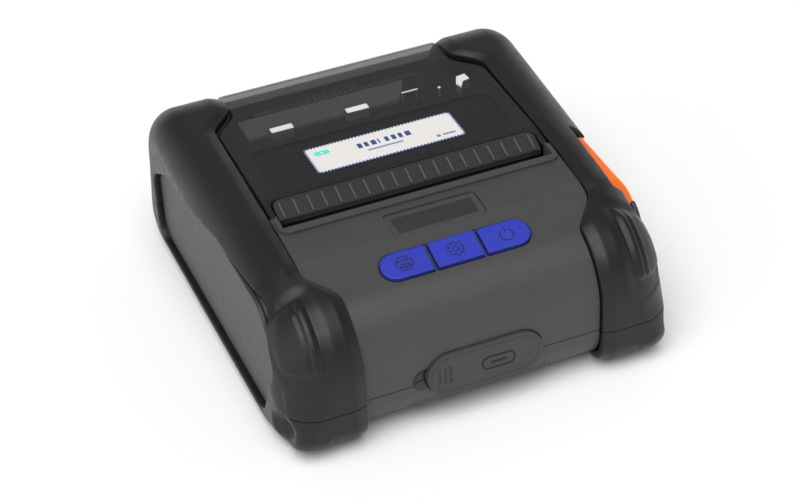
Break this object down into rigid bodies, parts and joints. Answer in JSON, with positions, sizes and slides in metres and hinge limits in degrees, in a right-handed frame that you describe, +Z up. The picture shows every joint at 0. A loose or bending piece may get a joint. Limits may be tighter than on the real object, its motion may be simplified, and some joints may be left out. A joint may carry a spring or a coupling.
{
  "type": "portable label printer",
  "caption": "Rugged hand-held thermal label maker with a hinged roll lid, rubber side bumpers, buttons, a display, a release lever and a covered charging port.",
  "frame": {"origin": "centre of the footprint, on the surface that it stands on", "axes": "+Z up, -Y out of the front with the display and buttons, +X to the right"},
  "size_m": [0.127, 0.135, 0.0545],
  "materials": {
    "case": "fine moulded texture, satin",
    "bumper": "soft-touch black over-mould, low sheen",
    "side_panel": "fine moulded texture",
    "smoked_lid": "smoked translucent, glossy",
    "inner_black": "moulded black",
    "strip": "coarse moulded texture",
    "label": "printed label stock",
    "rail": "moulded grey",
    "nylon": "natural nylon",
    "steel": "turned and stamped steel",
    "rubber": "moulded rubber",
    "brass": "sintered bronze",
    "ceramic": "glazed ceramic",
    "aluminium": "extruded aluminium",
    "motor_can": "plated steel can",
    "latch": "orange moulded, satin gloss",
    "display": "dark smoked window",
    "lcd": "display glass",
    "key": "blue moulded, satin gloss",
    "board": "solder mask",
    "battery": "wrapped cells"
  },
  "bodies": {
    "case": {"upper_shell": "case", "lower_shell": "case", "bumper_upper_left": "bumper", "bumper_upper_right": "bumper", "bumper_lower_left": "bumper", "bumper_lower_right": "bumper", "side_panel_left": "side_panel", "side_panel_right": "side_panel", "lid_hinge_pin": "steel", "lid_spring": "steel", "chassis": "inner_black", "idler_axle": "steel", "motor": "motor_can", "print_head": "ceramic", "heat_sink": "aluminium", "head_springs": "steel", "head_bracket": "steel", "tear_bar": "steel", "latch_spring": "steel", "media_sensor": "inner_black", "display_window": "display", "display_module": "lcd", "keypad_board": "board", "key_switches": "nylon", "main_board": "board", "radio_module": "aluminium", "buzzer": "inner_black", "port_board": "board", "usb_socket": "steel", "battery_pack": "battery", "battery_door": "case", "case_screws": "steel", "rubber_feet": "rubber"},
    "lid": {"lid": "smoked_lid", "lid_frame": "inner_black", "lid_label": "label", "paper_rail": "rail", "paper_clips": "nylon", "paper_wire": "nylon", "paper_hook": "nylon", "exit_strip": "strip", "platen_bushes": "brass"},
    "platen": {"platen_roller": "rubber", "platen_shaft": "steel", "platen_gear": "nylon"},
    "idler": {"idler_gear": "nylon"},
    "pinion": {"motor_pinion": "brass"},
    "latch": {"latch_lever": "latch", "latch_shaft": "steel", "latch_hooks": "steel"},
    "left_guide": {"guide_left": "inner_black"},
    "right_guide": {"guide_right": "inner_black"},
    "guide_wheel": {"guide_pinion": "nylon"},
    "print_key": {"button_print": "key"},
    "feed_key": {"button_feed": "key"},
    "power_key": {"button_power": "key"},
    "port_flap": {"port_cover": "rubber"}
  },
  "joints": [
    {"name": "lid_hinge", "type": "hinge", "parent": "case", "child": "lid", "pos_m": [0, 0.054, 0.042], "axis": [-1, 0, 0], "range_deg": [0, 95]},
    {"name": "platen_spin", "type": "hinge", "parent": "lid", "child": "platen", "pos_m": [0, -0.008, 0.041], "axis": [1, 0, 0], "continuous": true},
    {"name": "idler_spin", "type": "hinge", "parent": "case", "child": "idler", "pos_m": [-0.0454, -0.01116, 0.0288], "axis": [1, 0, 0], "continuous": true},
    {"name": "motor_spin", "type": "hinge", "parent": "case", "child": "pinion", "pos_m": [-0.0454, -0.009, 0.017], "axis": [1, 0, 0], "continuous": true},
    {"name": "latch_lift", "type": "hinge", "parent": "case", "child": "latch", "pos_m": [0, -0.0345, 0.0375], "axis": [1, 0, 0], "range_deg": [0, 8], "stiffness_Nm_per_rad": 0.3, "springref_deg": -17.19},
    {"name": "left_guide_slide", "type": "slide", "parent": "case", "child": "left_guide", "axis": [1, 0, 0], "range_m": [0, 0.015]},
    {"name": "right_guide_slide", "type": "slide", "parent": "case", "child": "right_guide", "axis": [-1, 0, 0], "range_m": [0, 0.015]},
    {"name": "guide_pinion_spin", "type": "hinge", "parent": "case", "child": "guide_wheel", "pos_m": [0, 0.024, 0.0092], "axis": [0, 0, -1], "range_deg": [0, 179.06]},
    {"name": "print_press", "type": "slide", "parent": "case", "child": "print_key", "axis": [0, 0.279, -0.9603], "range_m": [0, 0.0006], "stiffness_N_per_m": 800, "springref_m": -0.0004},
    {"name": "feed_press", "type": "slide", "parent": "case", "child": "feed_key", "axis": [0, 0.279, -0.9603], "range_m": [0, 0.0006], "stiffness_N_per_m": 800, "springref_m": -0.0004},
    {"name": "power_press", "type": "slide", "parent": "case", "child": "power_key", "axis": [0, 0.279, -0.9603], "range_m": [0, 0.0006], "stiffness_N_per_m": 800, "springref_m": -0.0004},
    {"name": "port_cover_hinge", "type": "hinge", "parent": "case", "child": "port_flap", "pos_m": [0.0185, -0.0655, 0.0174], "axis": [0, 0, 1], "range_deg": [0, 100], "stiffness_Nm_per_rad": 0.01, "springref_deg": -5.73}
  ],
  "couplings": [
    {"joint": "idler_spin", "follows": "platen_spin", "ratio": -0.5},
    {"joint": "motor_spin", "follows": "platen_spin", "ratio": 1.1667},
    {"joint": "right_guide_slide", "follows": "left_guide_slide", "ratio": 1},
    {"joint": "guide_pinion_spin", "follows": "left_guide_slide", "rad_per_m": 208.33}
  ]
}
